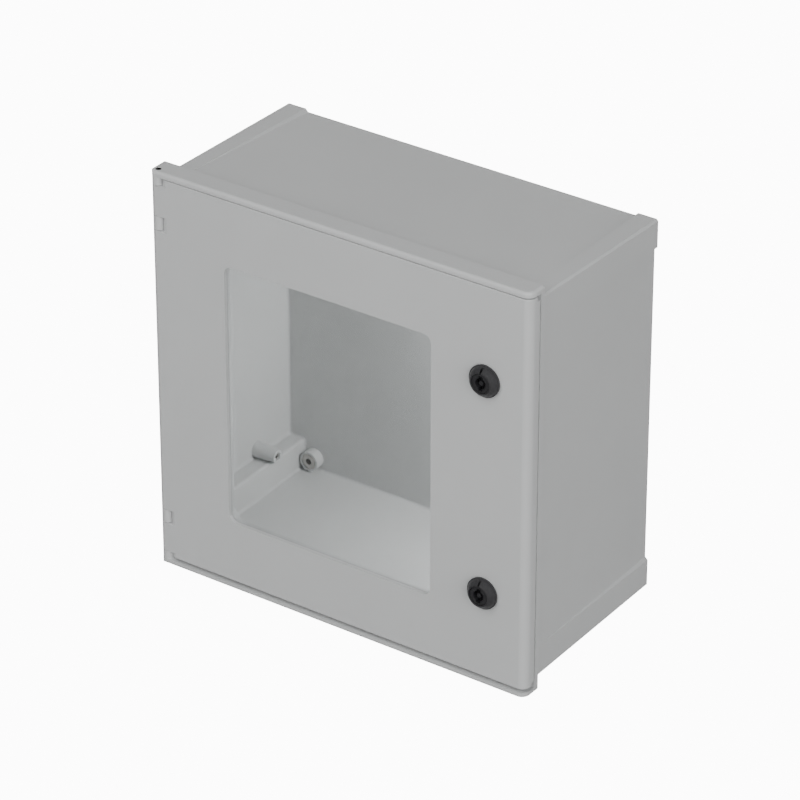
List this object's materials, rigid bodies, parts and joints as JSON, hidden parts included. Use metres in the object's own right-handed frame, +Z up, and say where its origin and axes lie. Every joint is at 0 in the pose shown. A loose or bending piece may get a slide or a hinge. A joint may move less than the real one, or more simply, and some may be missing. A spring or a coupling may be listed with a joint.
{
  "type": "wall-mount enclosure",
  "caption": "Square wall-mount enclosure of moulded plastic with a hinged door, a clear window, quarter-turn locks and screw wells behind the door.",
  "frame": {"origin": "centre of the four wall-fixing holes, on the plane of the rear face", "axes": "+Y from the front into the wall, +X to the right seen from the front, +Z up"},
  "size_m": [0.4, 0.2082, 0.4],
  "materials": {
    "housing": "light grey glass-filled polyester, fine satin grain",
    "door": "light grey glass-filled polyester, fine satin grain",
    "window_frame": "light grey moulded plastic, satin",
    "pane": "clear acrylic, polished",
    "window_seal": "light grey soft rubber, matt",
    "rubber": "black rubber, matt",
    "foam": "dark grey foamed seal, matt",
    "zinc_steel": "zinc-plated steel, satin",
    "plated_brass": "turned brass, nickel-plated, satin",
    "lock_body": "black glass-filled polyamide, satin",
    "lock_rotor": "black coated die-cast zinc, satin"
  },
  "bodies": {
    "housing": {"housing": "housing", "upper_hinge_pin": "zinc_steel", "lower_hinge_pin": "zinc_steel", "plate_inserts": "plated_brass", "side_inserts": "plated_brass"},
    "door": {"door": "door", "window_pane": "pane", "window_gasket": "window_seal", "window_frame": "window_frame", "window_screws": "zinc_steel", "door_gasket": "foam", "upper_lock_body": "lock_body", "lower_lock_body": "lock_body", "upper_lock_washer": "rubber", "lower_lock_washer": "rubber", "upper_lock_nut": "zinc_steel", "lower_lock_nut": "zinc_steel"},
    "upper_lock_insert": {"upper_lock_rotor": "lock_rotor", "upper_lock_ring": "rubber", "upper_lock_cam": "zinc_steel", "upper_cam_screw": "zinc_steel"},
    "lower_lock_insert": {"lower_lock_rotor": "lock_rotor", "lower_lock_ring": "rubber", "lower_lock_cam": "zinc_steel", "lower_cam_screw": "zinc_steel"}
  },
  "joints": [
    {"name": "door_hinge", "type": "hinge", "parent": "housing", "child": "door", "pos_m": [-0.1933, -0.1942, 0], "axis": [0, 0, -1], "range_deg": [0, 180]},
    {"name": "upper_lock_turn", "type": "hinge", "parent": "door", "child": "upper_lock_insert", "pos_m": [0.1555, -0.2, 0.105], "axis": [0, 1, 0], "range_deg": [0, 90]},
    {"name": "lower_lock_turn", "type": "hinge", "parent": "door", "child": "lower_lock_insert", "pos_m": [0.1555, -0.2, -0.105], "axis": [0, 1, 0], "range_deg": [0, 90]}
  ]
}
